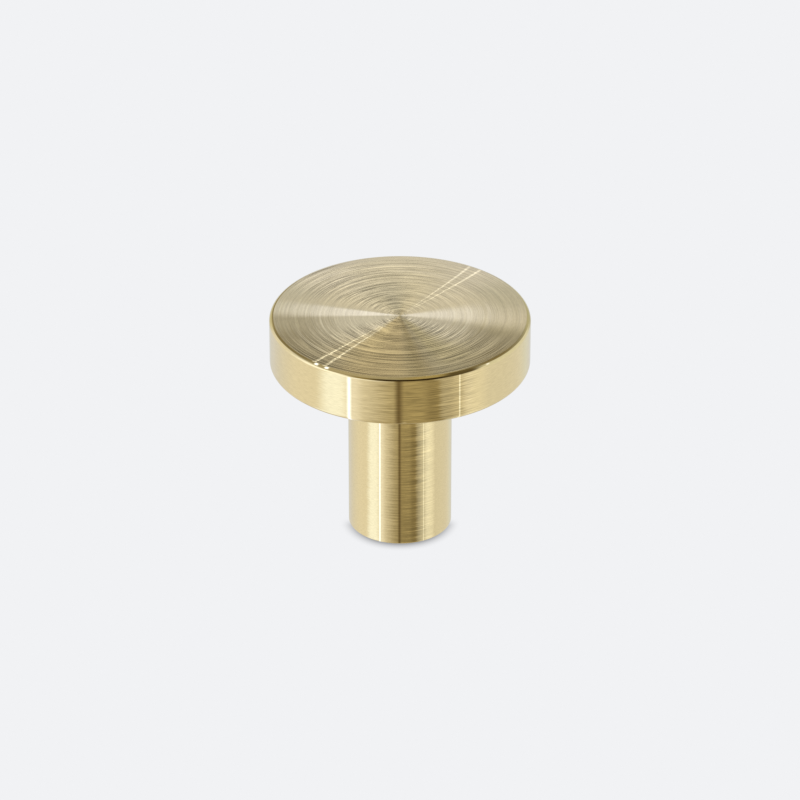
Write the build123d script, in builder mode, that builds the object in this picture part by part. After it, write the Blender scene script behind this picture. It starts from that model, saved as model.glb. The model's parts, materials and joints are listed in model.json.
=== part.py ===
"""Round cabinet knob turned from one bar of solid brass.

A flat disc head stands on a plain straight stem. The foot of the stem bears on the door or drawer front,
and a blind tapped hole on the axis takes the fixing screw from behind.

The origin is the centre of the foot. +Z runs along the axis, away from the door. Sizes are in millimetres.
"""

import os
from math import radians, tan

from build123d import *

# Head
head_diameter = 30.0
head_thickness = 6.0
head_edge_radius = 0.5

# Stem, from the foot to the underside of the head
stem_diameter = 12.0
root_radius = 0.4
foot_edge_radius = 0.2

# Height of the whole knob off the door
projection = 27.0

# Tapped hole for an M4 screw, drilled to the thread's core
tap_drill_diameter = 3.3
hole_depth = 14.0
drill_point_angle = 118.0
mouth_diameter = 4.3
mouth_angle = 90.0

# Places that follow from the sizes above
head_radius = head_diameter / 2
stem_radius = stem_diameter / 2
drill_radius = tap_drill_diameter / 2
mouth_radius = mouth_diameter / 2
head_underside = projection - head_thickness
mouth_depth = (mouth_radius - drill_radius) / tan(radians(mouth_angle / 2))
drill_tip = hole_depth + drill_radius / tan(radians(drill_point_angle / 2))

with BuildPart() as knob:
    # Turned body: half of the section, swept about the axis
    with BuildSketch(Plane.XZ):
        with BuildLine():
            Polyline(
                (0, 0),
                (stem_radius, 0),
                (stem_radius, head_underside),
                (head_radius, head_underside),
                (head_radius, projection),
                (0, projection),
                close=True,
            )
        make_face()
    revolve(axis=Axis.Z)

    # The circles of the turned body, from the foot up to the face
    turned_edges = knob.edges().filter_by(GeomType.CIRCLE)
    rims = turned_edges.filter_by(lambda edge: edge.radius > (stem_radius + head_radius) / 2)
    stem_ends = (turned_edges - rims).sort_by(Axis.Z)
    fillet(rims, head_edge_radius)
    fillet(stem_ends.last, root_radius)
    fillet(stem_ends.first, foot_edge_radius)

    # Blind hole: countersunk mouth, straight wall and the cone that the drill leaves
    with BuildSketch(Plane.XZ):
        with BuildLine():
            Polyline(
                (0, 0),
                (mouth_radius, 0),
                (drill_radius, mouth_depth),
                (drill_radius, hole_depth),
                (0, drill_tip),
                close=True,
            )
        make_face()
    revolve(axis=Axis.Z, mode=Mode.SUBTRACT)

knob.part.label = "knob"

os.makedirs("parts", exist_ok=True)
export_step(knob.part, "parts/knob.step")
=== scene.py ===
"""Looks of a round brass cabinet knob: a turned, circular-brushed body under plain studio light.

Metres throughout. The knob's axis is Z, its foot stands on the floor at the origin, and the camera is at -Y.
"""

import json
from math import cos, hypot, pi, radians, sin, tan
from typing import NamedTuple

import bpy
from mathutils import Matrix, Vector


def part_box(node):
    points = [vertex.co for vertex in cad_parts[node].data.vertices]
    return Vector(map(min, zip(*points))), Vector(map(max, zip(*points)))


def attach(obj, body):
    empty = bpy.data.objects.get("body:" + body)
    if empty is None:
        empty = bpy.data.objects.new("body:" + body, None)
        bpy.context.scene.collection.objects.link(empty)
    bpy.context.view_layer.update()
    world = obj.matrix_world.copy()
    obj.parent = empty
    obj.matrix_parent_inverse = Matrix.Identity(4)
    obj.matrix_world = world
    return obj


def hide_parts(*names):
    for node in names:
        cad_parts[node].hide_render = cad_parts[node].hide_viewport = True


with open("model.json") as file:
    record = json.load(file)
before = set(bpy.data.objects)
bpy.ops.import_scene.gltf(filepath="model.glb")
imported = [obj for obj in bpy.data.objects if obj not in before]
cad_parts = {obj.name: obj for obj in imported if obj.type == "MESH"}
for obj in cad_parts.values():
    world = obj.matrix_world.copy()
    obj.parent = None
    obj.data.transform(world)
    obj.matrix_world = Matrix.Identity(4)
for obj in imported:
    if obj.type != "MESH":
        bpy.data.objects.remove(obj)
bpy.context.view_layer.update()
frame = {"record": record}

# Sizes that the frame gives: the knob's box and the screw hole
knob_low, knob_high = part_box("knob")
screw_hole = next(m for m in frame["record"]["mounts"] if m["name"] == "screw_hole")
HEAD_RADIUS = knob_high.x
PROJECTION = knob_high.z - knob_low.z
DRILL_RADIUS = screw_hole["dims"]["r_mm"] / 1000

# Section of the turned body
HEAD_THICKNESS = 0.006
HEAD_EDGE = 0.0005
STEM_RADIUS = 0.006
ROOT_EDGE = 0.0004
FOOT_EDGE = 0.0002

# Blind hole in the foot: a straight wall, the cone that the drill leaves and a countersunk mouth
HOLE_DEPTH = 0.014
DRILL_POINT = radians(118)
DRILL_TIP = HOLE_DEPTH + DRILL_RADIUS / tan(DRILL_POINT / 2)
MOUTH_RADIUS = 0.00215
MOUTH_ANGLE = radians(90)
MOUTH_DEPTH = (MOUTH_RADIUS - DRILL_RADIUS) / tan(MOUTH_ANGLE / 2)

# M4 thread in the hole, with the shares of a pitch that its crest and its root take
THREAD_RADIUS = 0.002
THREAD_PITCH = 0.0007
THREAD_END = 0.012
CREST_SHARE = 0.25
ROOT_SHARE = 0.125

# Resolution of the turned mesh
SEGMENTS = 288
THREAD_SEGMENTS = 96
ARC_STEPS = 8
FACE_RINGS = 12
RIM_RINGS = 6
UNDERSIDE_RINGS = 6
STEM_RINGS = 16
FOOT_RINGS = 2
RINGS_A_PITCH = 12

# Brass and its brushing. A set of lines has its width across, how fast it changes round the axis, its
# strength and its place in the noise. The lines on the walls have a length instead of how fast they change.
BRASS = (0.9, 0.735, 0.395)
ROUGHNESS = 0.03
QUARTER_TURN = 0.25
NOISE_MIDDLE = 0.5
FINE_LINES = (0.000025, 6, 0.02, 5.3)
CLEAR_LINES = (0.00014, 0.4, 0.11, 31.7)
MEDIUM_LINES = (0.0003, 0.25, 0.05, 44.1)
BROAD_LINES = (0.0008, 0.2, 0.035, 57.3)
SHORT_LINES = (0.00016, 2, 0.035, 21.3)
WALL_LINES = (0.00011, 0.003, 0.12, 63.1)
TONE_LINES = (0.0002, 0.6, 0.34, 11.9)
TONE_SCRATCHES = (0.00013, 3, 0.35, 83.1)
GRAIN = (0.0001, 22, 0.3, 17.9)

# Deep lines lean outward at one place in the noise and inward at the other, where the noise is this strong
DEEP_LINES = (0.00017, 0.6, 0.03)
DEEP_OUTWARD = 71.9
DEEP_INWARD = 93.7
DEEP_START = 0.64
DEEP_FULL = 0.74

# How far the face's normals lean outward at its rim
FACE_LEAN = 0.26

# Photograph's camera, with an image of 800 by 800 pixels
IMAGE_SIZE = 800
FOCAL_PIXELS = 4656
SENSOR_WIDTH = 36
CLIP_START = 0.01
CLIP_END = 20
CAMERA_DISTANCE = 0.54
CAMERA_ELEVATION = radians(29.67)
AIM_ABOVE_MIDDLE = 0.00206
KNOB_MIDDLE = Vector((0, 0, PROJECTION / 2))
CAMERA_BACK = Vector((0, -cos(CAMERA_ELEVATION), sin(CAMERA_ELEVATION)))
CAMERA_UP = Vector((0, sin(CAMERA_ELEVATION), cos(CAMERA_ELEVATION)))
CAMERA_PLACE = KNOB_MIDDLE + CAMERA_DISTANCE * CAMERA_BACK

# Floor, and the shadow round the foot: how far it reaches, then for the front and for the back where it
# starts along Y, where it is full and how dark it is
FLOOR_SIZE = 4
FLOOR_COLOUR = (0.8796, 0.8879, 0.9047)
SHADOW_SHIFT = 0.0005
SHADOW_REACH = 0.0017
SHADOW_IN_FRONT = (0, -0.002, 0.57)
SHADOW_BEHIND = (0.0025, 0.0055, 0.4)

# Card on the floor beside the stem: the part of the stem that shows it, in degrees round from the front, how
# far it reaches and the light that it adds
BOUNCE_START = 19
BOUNCE_END = 42
BOUNCE_REACH = 0.033
BOUNCE_STEPS = 12
BOUNCE_LIGHT = (0.175, 0.215, 0.295)

# Makes x (1 - x) one at its highest
PARABOLA_PEAK = 4


def arc(centre, radius, start, end):
    """A rounded corner as points of (radius, height, normal out, normal up)."""
    points = []
    for i in range(ARC_STEPS + 1):
        a = start + (end - start) * i / ARC_STEPS
        points.append((centre[0] + radius * cos(a), centre[1] + radius * sin(a), cos(a), sin(a)))
    return points


def distance(near, far):
    """How far apart two points of the section are."""
    return hypot(far[0] - near[0], far[1] - near[1])


def straight(start, end, steps=1):
    """A straight stretch of the section as such points, with the metal on its right."""
    length = distance(start, end)
    normal = ((start[1] - end[1]) / length, (end[0] - start[0]) / length)
    points = []
    for i in range(steps + 1):
        t = i / steps
        points.append((start[0] + (end[0] - start[0]) * t, start[1] + (end[1] - start[1]) * t, *normal))
    return points


def turned(out, up, turn):
    """A point or a normal of the section, turned about the axis by a share of a turn."""
    return (out * cos(2 * pi * turn), out * sin(2 * pi * turn), up)


def round_steps(count):
    """The steps once round the axis: this point, the next one, and the share of a turn at each."""
    return [(i, (i + 1) % count, i / count, (i + 1) / count) for i in range(count)]


def body_runs():
    """The outside of the section, from the middle of the face to the mouth of the hole."""
    under = PROJECTION - HEAD_THICKNESS
    rim = HEAD_RADIUS - HEAD_EDGE
    root = STEM_RADIUS + ROOT_EDGE
    foot = STEM_RADIUS - FOOT_EDGE
    inside_root = arc((root, under - ROOT_EDGE), ROOT_EDGE, pi / 2, pi)
    return [
        straight((0, PROJECTION), (rim, PROJECTION), FACE_RINGS),
        arc((rim, PROJECTION - HEAD_EDGE), HEAD_EDGE, pi / 2, 0),
        straight((HEAD_RADIUS, PROJECTION - HEAD_EDGE), (HEAD_RADIUS, under + HEAD_EDGE), RIM_RINGS),
        arc((rim, under + HEAD_EDGE), HEAD_EDGE, 0, -pi / 2),
        straight((rim, under), (root, under), UNDERSIDE_RINGS),
        [(r, z, -out, -up) for r, z, out, up in inside_root],
        straight((STEM_RADIUS, under - ROOT_EDGE), (STEM_RADIUS, FOOT_EDGE), STEM_RINGS),
        arc((foot, FOOT_EDGE), FOOT_EDGE, 0, -pi / 2),
        straight((foot, 0), (MOUTH_RADIUS, 0), FOOT_RINGS),
    ]


def thread_radius(height, turn):
    """Radius of the threaded wall at a height and a share of a turn. The thread fades out at both ends."""
    phase = (height / THREAD_PITCH - turn) % 1
    flank = (1 - CREST_SHARE - ROOT_SHARE) / 2
    rise = (phase - CREST_SHARE) / flank
    fall = (1 - phase) / flank
    ends = min((height - MOUTH_DEPTH) / THREAD_PITCH, (THREAD_END - height) / THREAD_PITCH, 1)
    cut = THREAD_RADIUS - DRILL_RADIUS
    return DRILL_RADIUS + cut * max(0, min(rise, fall, 1)) * max(0, ends)


class Lathe:
    """Turns a section into a mesh, ring by ring, with a polar UV map and normals.

    It starts at a point on the axis. A corner of a face is (vertex, share of a turn, share of the section's
    length, normal), and its two shares are its UV. A normal of zero is left to Blender.
    """

    def __init__(self, point, section_length):
        self.section_length = section_length
        self.done = 0
        self.verts = []
        self.faces = []
        self.uvs = []
        self.normals = []
        self.ring = self.add_ring([point])

    def add_ring(self, points):
        """Adds vertices and gives their numbers."""
        first = len(self.verts)
        self.verts += points
        return list(range(first, len(self.verts)))

    def add_face(self, corners):
        """Adds a face by its corners."""
        self.faces.append([vertex for vertex, u, v, normal in corners])
        self.uvs += [(u, v) for vertex, u, v, normal in corners]
        self.normals += [normal for vertex, u, v, normal in corners]

    def band(self, points, length, near=(0, 0), far=(0, 0)):
        """Faces from the last ring to a new one as fine, with the normals (out, up) at both."""
        new_ring = self.add_ring(points)
        start = self.done
        self.done += length / self.section_length
        for i, j, a, b in round_steps(len(points)):
            corners = [(new_ring[i], a, self.done, turned(*far, a))]
            corners.append((new_ring[j], b, self.done, turned(*far, b)))
            if len(self.ring) == 1:
                corners.append((self.ring[0], (a + b) / 2, start, turned(*near, a)))
            else:
                corners.append((self.ring[j], b, start, turned(*near, b)))
                corners.append((self.ring[i], a, start, turned(*near, a)))
            self.add_face(corners)
        self.ring = new_ring

    def coarser_band(self, points, length, normal):
        """Faces from the last ring to a coarser new one, with one normal (out, up)."""
        new_ring = self.add_ring(points)
        share = len(self.ring) // len(points)
        start = self.done
        self.done += length / self.section_length
        for i, j, a, b in round_steps(len(points)):
            corners = [(new_ring[i], a, self.done, turned(*normal, a))]
            corners.append((new_ring[j], b, self.done, turned(*normal, b)))
            for k in range(share, -1, -1):
                turn = a + (b - a) * k / share
                vertex = self.ring[(i * share + k) % len(self.ring)]
                corners.append((vertex, turn, start, turned(*normal, turn)))
            self.add_face(corners)
        self.ring = new_ring

    def close(self, point):
        """Faces from the last ring to a point on the axis, where the section ends."""
        tip = self.add_ring([point])[0]
        unset = (0, 0, 0)
        for i, j, a, b in round_steps(len(self.ring)):
            self.add_face([
                (tip, (a + b) / 2, 1, unset),
                (self.ring[j], b, self.done, unset),
                (self.ring[i], a, self.done, unset),
            ])

    def mesh(self, name):
        """The finished mesh."""
        mesh = bpy.data.meshes.new(name)
        mesh.from_pydata(self.verts, [], self.faces)
        uv_map = mesh.uv_layers.new(name="OFBake")
        for corner, uv in zip(uv_map.data, self.uvs):
            corner.uv = uv
        mesh.shade_smooth()
        mesh.normals_split_custom_set(self.normals)
        return mesh


def circle(radius, height, count):
    """Points of a ring."""
    return [turned(radius, height, i / count) for i in range(count)]


def turn_hole_wall(lathe):
    """The threaded wall of the hole, then its plain wall."""
    threaded = THREAD_END - MOUTH_DEPTH
    rings = round(threaded / THREAD_PITCH * RINGS_A_PITCH)
    heights = [MOUTH_DEPTH + threaded * k / rings for k in range(1, rings + 1)]
    turns = [i / THREAD_SEGMENTS for i in range(THREAD_SEGMENTS)]
    before = MOUTH_DEPTH
    for height in heights + [HOLE_DEPTH]:
        lathe.band([turned(thread_radius(height, turn), height, turn) for turn in turns], height - before)
        before = height


def new_piece(mesh):
    """An object for a mesh, in the scene under the mesh's name."""
    piece = bpy.data.objects.new(mesh.name, mesh)
    bpy.context.scene.collection.objects.link(piece)
    return piece


def build_body():
    """The knob in one closed skin: the outside, the mouth of the hole, its wall and the drill's cone."""
    outside = body_runs()
    mouth = straight((MOUTH_RADIUS, 0), (DRILL_RADIUS, MOUTH_DEPTH))
    length = HOLE_DEPTH - MOUTH_DEPTH + hypot(DRILL_RADIUS, DRILL_TIP - HOLE_DEPTH)
    for run in [*outside, mouth]:
        length += sum(distance(near, far) for near, far in zip(run, run[1:]))

    lathe = Lathe((0, 0, PROJECTION), length)
    for run in outside:
        for near, far in zip(run, run[1:]):
            lathe.band(circle(*far[:2], SEGMENTS), distance(near, far), near[2:], far[2:])
    lathe.coarser_band(circle(*mouth[1][:2], THREAD_SEGMENTS), distance(*mouth), mouth[1][2:])
    turn_hole_wall(lathe)
    lathe.close((0, 0, DRILL_TIP))
    return new_piece(lathe.mesh("knob_body"))


class Nodes:
    """Short ways to add nodes to a tree. A value is a number, a vector, a colour or a node's socket."""

    MIX_SHARE = 0
    MIX_FIRST = 6
    MIX_SECOND = 7
    MIX_RESULT = 2

    def __init__(self, tree):
        self.tree = tree

    def add(self, kind, **settings):
        """A new node."""
        node = self.tree.nodes.new("ShaderNode" + kind)
        for name, value in settings.items():
            setattr(node, name, value)
        return node

    def put(self, value, socket):
        """Links a socket to a socket, or sets a plain value on it."""
        if isinstance(value, bpy.types.NodeSocket):
            self.tree.links.new(value, socket)
        else:
            socket.default_value = value

    def math(self, operation, *values):
        """Arithmetic on numbers."""
        node = self.add("Math", operation=operation)
        for value, socket in zip(values, node.inputs):
            self.put(value, socket)
        return node.outputs[0]

    def total(self, first, *others):
        """The sum of numbers."""
        for value in others:
            first = self.math("ADD", first, value)
        return first

    def product(self, first, *others):
        """The product of numbers."""
        for value in others:
            first = self.math("MULTIPLY", first, value)
        return first

    def apart(self, value, middle):
        """How far a number is from another, either way."""
        return self.math("ABSOLUTE", self.math("SUBTRACT", value, middle))

    def vector(self, operation, *values):
        """Arithmetic on vectors."""
        node = self.add("VectorMath", operation=operation)
        for value, socket in zip(values, node.inputs):
            self.put(value, socket)
        return node.outputs["Value" if operation == "LENGTH" else "Vector"]

    def scaled(self, vector, factor):
        """A vector or a colour times a number."""
        node = self.add("VectorMath", operation="SCALE")
        self.put(vector, node.inputs["Vector"])
        self.put(factor, node.inputs["Scale"])
        return node.outputs["Vector"]

    def split(self, vector):
        """The three numbers of a vector."""
        node = self.add("SeparateXYZ")
        self.put(vector, node.inputs[0])
        return node.outputs

    def join(self, x, y, z):
        """A vector of three numbers."""
        node = self.add("CombineXYZ")
        for value, socket in zip((x, y, z), node.inputs):
            self.put(value, socket)
        return node.outputs[0]

    def smooth(self, value, start, end, low=0, high=1):
        """An eased step from low to high, as a value goes from start to end."""
        node = self.add("MapRange", interpolation_type="SMOOTHSTEP")
        for setting, socket in zip((value, start, end, low, high), node.inputs):
            self.put(setting, socket)
        return node.outputs[0]

    def mix(self, share, first, second):
        """A share of the second colour over the first."""
        node = self.add("Mix", data_type="RGBA")
        self.put(share, node.inputs[self.MIX_SHARE])
        self.put(first, node.inputs[self.MIX_FIRST])
        self.put(second, node.inputs[self.MIX_SECOND])
        return node.outputs[self.MIX_RESULT]


def empty_material(name):
    """A new material with no nodes yet, and its tree."""
    material = bpy.data.materials.new(name)
    material.use_nodes = True
    material.node_tree.nodes.clear()
    return material, Nodes(material.node_tree)


class Brushing:
    """Noise drawn out into lines, by how far along the section a point is and which way it lies."""

    def __init__(self, n):
        self.n = n
        place = n.add("TexCoord").outputs["Object"]
        self.flat = n.vector("MULTIPLY", place, (1, 1, 0))
        self.radius = n.vector("LENGTH", self.flat)
        self.outward = n.split(n.vector("NORMALIZE", self.flat))
        self.along = n.math("SUBTRACT", self.radius, n.split(place)[2])

    def noise(self, width, spread, rate, seed):
        """Noise of a width along the section, which changes with the spread at a rate."""
        n = self.n
        across = n.math("MULTIPLY_ADD", self.along, 1 / width, seed)
        texture = n.add("TexNoise", noise_dimensions="3D")
        at = n.join(across, n.math("MULTIPLY", spread[0], rate), n.math("MULTIPLY", spread[1], rate))
        n.put(at, texture.inputs["Vector"])
        texture.inputs["Scale"].default_value = 1
        texture.inputs["Detail"].default_value = 1
        return texture.outputs[0]

    def about_zero(self, noise, strength):
        """Noise moved to lie about zero, at a strength."""
        return self.n.math("MULTIPLY", self.n.math("SUBTRACT", noise, NOISE_MIDDLE), strength)

    def lines(self, width, rate, strength, seed):
        """Lines round the axis, longer further out."""
        return self.about_zero(self.noise(width, self.outward, rate, seed), strength)

    def wall_lines(self, width, length, strength, seed):
        """Lines round the axis that are as long at any radius."""
        return self.about_zero(self.noise(width, self.n.split(self.flat), 1 / length, seed), strength)

    def deep_lines(self, width, rate, strength, seed):
        """Lines round the axis only where the noise is strong."""
        return self.n.smooth(self.noise(width, self.outward, rate, seed), DEEP_START, DEEP_FULL, 0, strength)

    def tilt(self, upward):
        """How far the surface leans along the section, on the face and on the walls."""
        n = self.n
        ring_sets = (CLEAR_LINES, MEDIUM_LINES, BROAD_LINES, SHORT_LINES)
        rings = n.total(*(self.lines(*ring_set) for ring_set in ring_sets))
        deep_out = self.deep_lines(*DEEP_LINES, DEEP_OUTWARD)
        deep_in = self.deep_lines(*DEEP_LINES, DEEP_INWARD)
        lean = n.math("MULTIPLY", self.radius, FACE_LEAN / HEAD_RADIUS)
        on_face = n.math("MULTIPLY", n.total(rings, n.math("SUBTRACT", deep_out, deep_in), lean), upward)
        on_walls = n.math("MULTIPLY", self.wall_lines(*WALL_LINES), n.math("SUBTRACT", 1, upward))
        return n.math("ADD", self.lines(*FINE_LINES), n.math("ADD", on_face, on_walls))

    def tone(self, upward):
        """How light the metal is: lines and scratches on the face, and grain everywhere."""
        n = self.n
        on_face = n.math("ADD", self.lines(*TONE_LINES), self.lines(*TONE_SCRATCHES))
        return n.math("ADD", n.math("MULTIPLY_ADD", on_face, upward, 1), self.lines(*GRAIN))


def brushed_brass():
    """Brass brushed in circles: lines tilt the surface, and its highlights stretch across them."""
    material = bpy.data.materials.new("brushed_brass")
    material.use_nodes = True
    n = Nodes(material.node_tree)
    shader = material.node_tree.nodes["Principled BSDF"]
    shader.inputs["Metallic"].default_value = 1
    shader.inputs["Roughness"].default_value = ROUGHNESS
    shader.inputs["Anisotropic"].default_value = 1
    shader.inputs["Anisotropic Rotation"].default_value = QUARTER_TURN
    n.put(n.add("Tangent", direction_type="RADIAL", axis="Z").outputs[0], shader.inputs["Tangent"])

    brushing = Brushing(n)
    normal = n.add("NewGeometry").outputs["Normal"]
    upward = n.math("MAXIMUM", n.split(normal)[2], 0)
    around = n.join(n.math("MULTIPLY", brushing.outward[1], -1), brushing.outward[0], 0)
    along_section = n.vector("CROSS_PRODUCT", around, normal)
    tilted = n.vector("ADD", normal, n.scaled(along_section, brushing.tilt(upward)))
    n.put(n.vector("NORMALIZE", tilted), shader.inputs["Normal"])
    n.put(n.scaled(BRASS, brushing.tone(upward)), shader.inputs["Base Color"])
    return material


def make_floor():
    """The pale floor, as bright as the background, with the soft shadow round the foot."""
    bpy.ops.mesh.primitive_plane_add(size=FLOOR_SIZE)
    floor = bpy.context.object
    floor.name = "floor"
    material, n = empty_material("floor")
    place = n.add("TexCoord").outputs["Object"]

    # The shadow starts at two circles a little smaller than the foot, which touch its front and its back
    from_middle = n.vector("SUBTRACT", n.vector("ABSOLUTE", place), (0, SHADOW_SHIFT, 0))
    gap = n.math("SUBTRACT", n.vector("LENGTH", from_middle), STEM_RADIUS - SHADOW_SHIFT)
    near = n.math("MAXIMUM", n.math("SUBTRACT", 1, n.math("DIVIDE", gap, SHADOW_REACH)), 0)
    near = n.math("MINIMUM", near, 1)
    y = n.split(place)[1]
    depths = [n.smooth(y, start, full, 0, depth) for start, full, depth in (SHADOW_IN_FRONT, SHADOW_BEHIND)]
    shadow = n.product(near, near, n.total(*depths))
    glow = n.add("Emission")
    n.put(n.scaled(FLOOR_COLOUR, n.math("SUBTRACT", 1, shadow)), glow.inputs["Color"])
    n.put(glow.outputs[0], n.add("OutputMaterial").inputs["Surface"])

    floor.data.materials.append(material)
    floor.visible_glossy = False
    floor.visible_diffuse = False
    floor.visible_shadow = False


def bounce_light():
    """Light added to what lies behind the card, full along its middle and none at its sides."""
    material, n = empty_material("bounce_card")
    material.cycles.emission_sampling = "NONE"
    across = n.split(n.add("TexCoord").outputs["UV"])[0]
    strength = n.product(across, PARABOLA_PEAK, n.math("SUBTRACT", 1, across))
    glow = n.add("Emission")
    n.put(n.scaled(BOUNCE_LIGHT, strength), glow.inputs["Color"])
    added = n.add("AddShader")
    n.put(n.add("BsdfTransparent").outputs[0], added.inputs[0])
    n.put(glow.outputs[0], added.inputs[1])
    n.put(added.outputs[0], n.add("OutputMaterial").inputs["Surface"])
    return material


def make_bounce():
    """The card on the floor, which only reflections show. It fans out as the round stem spreads the view."""
    verts = []
    faces = []
    for i in range(BOUNCE_STEPS + 1):
        a = radians(BOUNCE_START + (BOUNCE_END - BOUNCE_START) * i / BOUNCE_STEPS)
        near = Vector((sin(a), -cos(a), 0)) * STEM_RADIUS
        verts += [near, near + Vector((sin(2 * a), -cos(2 * a), 0)) * BOUNCE_REACH]
        if i:
            faces.append([2 * i - 2, 2 * i - 1, 2 * i + 1, 2 * i])
    mesh = bpy.data.meshes.new("bounce_card")
    mesh.from_pydata(verts, [], faces)
    uv_map = mesh.uv_layers.new(name="across")
    for loop, corner in zip(mesh.loops, uv_map.data):
        corner.uv = (loop.vertex_index // 2 / BOUNCE_STEPS, loop.vertex_index % 2)
    mesh.materials.append(bounce_light())
    card = new_piece(mesh)
    card.visible_camera = False
    card.visible_diffuse = False
    card.visible_shadow = False


class Card(NamedTuple):
    """A card of the studio, placed in degrees by the way a surface has to face to show it to the camera.

    Its middle is counted round from the front, positive to the right, with half its width and the softness
    of its sides. low, high and fade are its ends, counted up from level, and their softness. A slant moves
    it round by so much for each degree up, within SLANT_REACH of level.
    """

    middle: float
    half: float
    soft: float
    colour: tuple
    low: float = -90
    high: float = 200
    fade: float = 10
    slant: float = 0


# Studio: its plain walls, and the cards on them. Each card covers those before it.
WALLS = (0.82, 0.83, 0.86)
ALL_ROUND = 400
NO_LOW_END = -200
SLANT_REACH = 4

# Cards that the upright walls of the head and the stem show, and the underside
WALL_CARDS = {
    "far_left": Card(-80, 20, 12, (0.72, 0.75, 0.83)),
    "far_right": Card(85, 20, 8, (0.73, 0.78, 0.81)),
    "right_wall": Card(52, 14, 6, (0.74, 0.758, 0.79)),
    "right_softbox": Card(35, 4, 4, (0.82, 0.83, 0.83)),
    "left_softbox": Card(-29.5, 6.5, 4, (1.07, 1.19, 1.45), slant=0.8),
    "below": Card(0, ALL_ROUND, 1, (0.62, 0.61, 0.58), low=NO_LOW_END, high=-22, fade=6),
    "front_shade": Card(0, 11, 11, (0.42, 0.38, 0.275), low=-60, fade=6, slant=0.8),
    "grey_card": Card(20, 7.2, 2, (0.45, 0.43, 0.37), low=-60, fade=6, slant=-0.6),
    "grey_right": Card(26.5, 2.5, 4, (0.62, 0.6, 0.53), low=-60, fade=6),
    "front_right": Card(8.6, 8.5, 1, (0.37, 0.325, 0.21), low=-60, fade=6, slant=-0.6),
    "step_shade": Card(14.4, 3, 2.5, (0.29, 0.25, 0.155), low=-60, fade=6, slant=-0.6),
    "lens": Card(-0.5, 1.3, 1.4, (0.165, 0.13, 0.075)),
    "left_glow": Card(-20.5, 1.5, 4, (0.96, 1, 1.15)),
    "left_line": Card(-22.7, 0.6, 1, (1.6, 1.95, 3.1)),
    "right_line": Card(26.9, 0.2, 0.35, (1.3, 1.4, 1.6)),
    "below_front": Card(4, 18, 6, (0.5, 0.48, 0.42), low=NO_LOW_END, high=-30, fade=5),
}

# Cards that the rounded edge of the head shows
EDGE_CARDS = {
    "ceiling": Card(0, ALL_ROUND, 1, (0.3, 0.3, 0.27), low=24, fade=4),
    "rim_left": Card(-98, 22, 7, (0.6, 0.6, 0.46), low=8, high=54, fade=4),
    "rim_right": Card(98, 22, 8, (0.48, 0.5, 0.42), low=8, high=72, fade=5),
    "rim_back": Card(180, 60, 20, (0.5, 0.5, 0.36), low=8, high=62, fade=5),
    "right_edge": Card(60, 21, 7, (0.76, 0.8, 0.8), low=6, high=40, fade=4),
    "left_wall_edge": Card(-66, 14, 8, (0.8, 0.82, 0.86), low=6, high=42, fade=4),
    "left_edge": Card(-32, 20, 10, (1.15, 1.25, 1.5), low=8, high=32, fade=4),
    "ceiling_left": Card(-22, 22, 10, (0.43, 0.41, 0.34), low=24, fade=4),
    "ceiling_right": Card(16, 14, 6, (0.4, 0.35, 0.2), low=24, fade=4),
    "ceiling_shade": Card(-14, 10, 6, (0.3, 0.25, 0.12), low=15, high=30, fade=3),
    "ceiling_gap": Card(10, 22, 6, (0.035, 0.024, 0.01), low=16, high=33, fade=2.5),
    "ceiling_end": Card(28, 8, 4, (0.11, 0.09, 0.05), low=16, high=58, fade=5),
}

# Cards that the brushed face shows. Its rings spread them into fans about the axis.
FACE_CARDS = {
    "back_half": Card(180, 106, 12, (0.61, 0.635, 0.73), low=68, fade=4),
    "back_middle": Card(180, 30, 24, (0.66, 0.67, 0.69), low=68, fade=4),
    "front_half": Card(-9.5, 81.5, 9, (0.357, 0.365, 0.4), low=68, fade=4),
    "front_warm": Card(-11, 19, 12, (0.46, 0.44, 0.41), low=68, fade=4),
    "front_left_core": Card(-32, 14, 9, (0.54, 0.52, 0.48), low=80, fade=4),
    "front_right_core": Card(34, 12, 8, (0.44, 0.45, 0.45), low=78, fade=4),
    "core_left": Card(-76, 24, 14, (0.62, 0.665, 0.83), low=80, fade=4),
    "front_left_ring": Card(-48, 8, 10, (0.6, 0.635, 0.79), low=81, fade=4),
    "core_right": Card(62, 22, 14, (0.57, 0.61, 0.77), low=81, fade=4),
    "core_front": Card(10, 5, 6, (0.335, 0.325, 0.3), low=68, fade=4),
    "back_right_ring": Card(118, 16, 14, (0.665, 0.69, 0.79), low=79, fade=3),
    "back_left_ring": Card(-126, 18, 12, (0.665, 0.69, 0.78), low=79, high=84.5, fade=2.5),
    "core_back": Card(195, 24, 24, (0.48, 0.505, 0.57), low=81.8, fade=4),
    "wing_left": Card(-97, 6.5, 4.5, (0.64, 0.69, 0.85), low=58, fade=5),
    "wing_shade": Card(-82, 7, 6, (0.44, 0.46, 0.52), low=68, high=79, fade=3),
    "wing_core_left": Card(-96, 7, 2.5, (0.93, 1.02, 1.43), low=80.3, fade=7.5),
    "wing_core_right": Card(92, 11.5, 8, (0.87, 0.95, 1.3), low=80.3, fade=7.5),
    "back_left_rim": Card(-112, 10, 8, (0.54, 0.575, 0.66), low=66, high=78, fade=4),
    "back_right_rim": Card(110, 14, 10, (0.51, 0.54, 0.6), low=66, high=78, fade=4),
}

# Dark cards that draw the line where the face turns into the edge
RIM_CARDS = {
    "rim_line_left": Card(-94, 34, 8, (0.3, 0.275, 0.19), low=55, high=72, fade=3),
    "rim_dark_left": Card(-60, 18, 9, (0.24, 0.215, 0.14), low=44, high=73, fade=4),
    "rim_line_right": Card(48, 12, 12, (0.21, 0.18, 0.105), low=42, high=74, fade=3),
}

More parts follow.
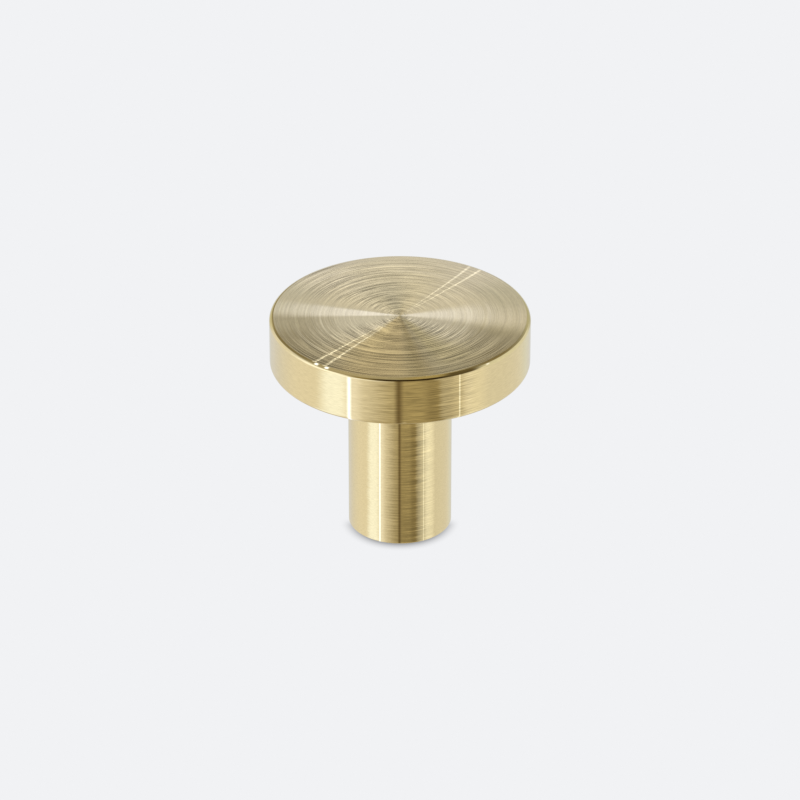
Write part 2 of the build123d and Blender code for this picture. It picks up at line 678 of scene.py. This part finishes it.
# Narrow lamps: streaks across the face, and the bright dots on the edge at their ends
STREAKS = {
    "streak_1": Card(136, 0.6, 0.4, (1, 1.05, 1.2), low=60, fade=2),
    "streak_2": Card(142, 0.6, 0.4, (1, 1.05, 1.2), low=60, fade=2),
    "streak_3": Card(-43, 0.6, 0.4, (0.9, 0.95, 1.1), low=60, fade=2),
    "streak_4": Card(-37, 0.6, 0.4, (0.9, 0.95, 1.1), low=60, fade=2),
    "dot_1": Card(-40.2, 0.9, 0.6, (1.5, 1.8, 2.7), low=34, high=62, fade=4),
    "dot_2": Card(-34.5, 0.9, 0.6, (1.5, 1.8, 2.7), low=34, high=62, fade=4),
    "dot_3": Card(42, 0.8, 0.6, (1.2, 1.35, 1.8), low=24, high=36, fade=3),
}

# Slats of light and dark overhead, in degrees up from level. They fade in towards the front and the back, by
# the share of the facing that is along Y, and are weaker about the calm middle.
OVERHEAD = (58, 70)
SLAT_PITCH = 2.3
SLAT_DEPTH = 0.56
SLAT_FADE = (0.25, 0.65)
CALM_MIDDLE = 125
CALM_FADE = (20, 50)
CALM_SHARE = 0.4

# Broader slats in front of the walls, with the place where they start and how far round they fade out
WALL_SLAT_PITCH = 8
WALL_SLAT_START = 0.6
WALL_SLAT_DEPTH = 0.34
WALL_SLAT_MIDDLE = 12
WALL_SLAT_FADE = (8, 36)

# Streaks and overhead slats fade out below the horizon and where the facing is short, which is behind the
# knob. There all the cards give way to a plain colour.
HORIZON = 0.02
FACING_FADE = (0.48, 0.6)
BEHIND = (0.7, 0.72, 0.73)
BEHIND_FADE = (0.5, 0.28)


def lay_cards(n, ground, cards, round_from_front, up_from_level, shown=1):
    """Lays cards over a ground colour, at the share that is shown."""
    slanting = n.math("MAXIMUM", n.math("MINIMUM", up_from_level, SLANT_REACH), -SLANT_REACH)
    for card in cards:
        leaning = n.math("MULTIPLY_ADD", slanting, -card.slant, round_from_front)
        off = n.math("ABSOLUTE", n.math("WRAP", n.math("SUBTRACT", leaning, card.middle), 180, -180))
        wide = n.smooth(off, card.half - card.soft, card.half + card.soft, 1, 0)
        start = n.smooth(up_from_level, card.low - card.fade, card.low + card.fade)
        end = n.smooth(up_from_level, card.high - card.fade, card.high + card.fade, 1, 0)
        ground = n.mix(n.product(wide, shown, start, end), ground, (*card.colour, 1))
    return ground


def make_slats(n, round_from_front, up_from_level, lengthwise, shown):
    """How much lighter or darker the slats make the cards."""
    wave = n.math("SINE", n.math("MULTIPLY", up_from_level, 2 * pi / SLAT_PITCH))
    depth = n.smooth(lengthwise, *SLAT_FADE, 0, SLAT_DEPTH)
    calm = n.smooth(n.apart(round_from_front, CALM_MIDDLE), *CALM_FADE, CALM_SHARE, 1)
    overhead = n.smooth(up_from_level, *OVERHEAD)
    face_slats = n.product(wave, depth, calm, overhead, shown)
    wall_place = n.math("ADD", up_from_level, WALL_SLAT_START)
    wall_wave = n.math("SINE", n.math("MULTIPLY", wall_place, 2 * pi / WALL_SLAT_PITCH))
    wall_depth = n.smooth(n.apart(round_from_front, WALL_SLAT_MIDDLE), *WALL_SLAT_FADE, WALL_SLAT_DEPTH, 0)
    wall_slats = n.math("MULTIPLY", wall_wave, wall_depth)
    return n.math("MULTIPLY_ADD", wall_slats, n.math("SUBTRACT", 1, overhead), face_slats)


def studio_colour(n):
    """Colour of the studio in a direction.

    The direction and the photograph's direction to the camera add up to the way that a surface faces when it
    shows the one to the other.
    """
    to_camera = (CAMERA_PLACE - Vector((0, 0, PROJECTION))).normalized()
    direction = n.add("TexCoord").outputs["Generated"]
    facing = n.vector("ADD", direction, to_camera)
    facing_length = n.vector("LENGTH", facing)
    above = n.smooth(n.split(direction)[2], -HORIZON, HORIZON)
    shown = n.math("MULTIPLY", above, n.smooth(facing_length, *FACING_FADE))

    x, y, z = n.split(facing)
    level = n.vector("LENGTH", n.vector("MULTIPLY", facing, (1, 1, 0)))
    lengthwise = n.math("ABSOLUTE", n.math("DIVIDE", y, level))
    round_from_front = n.math("DEGREES", n.math("ARCTAN2", x, n.math("MULTIPLY", y, -1)))
    up_from_level = n.math("DEGREES", n.math("ARCTAN2", z, level))

    colour = (*WALLS, 1)
    for cards in (WALL_CARDS, EDGE_CARDS, FACE_CARDS, RIM_CARDS):
        colour = lay_cards(n, colour, cards.values(), round_from_front, up_from_level)
    colour = lay_cards(n, colour, STREAKS.values(), round_from_front, up_from_level, shown)
    slats = make_slats(n, round_from_front, up_from_level, lengthwise, shown)
    behind = n.smooth(facing_length, *BEHIND_FADE)
    return n.mix(behind, n.scaled(colour, n.math("ADD", slats, 1)), (*BEHIND, 1))


def make_studio():
    """World light: the studio for reflections, and the floor's plain colour as the background."""
    world = bpy.data.worlds.new("studio")
    bpy.context.scene.world = world
    world.use_nodes = True
    n = Nodes(world.node_tree)
    n.tree.nodes.clear()
    light = n.add("Background")
    n.put(studio_colour(n), light.inputs["Color"])
    plain = n.add("Background")
    plain.inputs["Color"].default_value = (*FLOOR_COLOUR, 1)
    seen = n.add("MixShader")
    n.put(n.add("LightPath").outputs["Is Camera Ray"], seen.inputs[0])
    n.put(light.outputs[0], seen.inputs[1])
    n.put(plain.outputs[0], seen.inputs[2])
    n.put(seen.outputs[0], n.add("OutputWorld").inputs["Surface"])


def make_camera():
    """The photograph's camera."""
    data = bpy.data.cameras.new("camera")
    data.sensor_width = SENSOR_WIDTH
    data.lens = FOCAL_PIXELS / IMAGE_SIZE * SENSOR_WIDTH
    data.clip_start = CLIP_START
    data.clip_end = CLIP_END
    camera = bpy.data.objects.new("camera", data)
    bpy.context.scene.collection.objects.link(camera)
    camera.location = CAMERA_PLACE
    camera.rotation_mode = "QUATERNION"
    aim = KNOB_MIDDLE + AIM_ABOVE_MIDDLE * CAMERA_UP - CAMERA_PLACE
    camera.rotation_quaternion = aim.to_track_quat("-Z", "Y")
    bpy.context.scene.camera = camera


knob = build_body()
knob.data.materials.append(brushed_brass())
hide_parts("knob")
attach(knob, "root")

make_floor()
make_bounce()
make_studio()
make_camera()
bpy.context.scene.view_settings.view_transform = "Standard"
bpy.context.scene.cycles.use_denoising = False
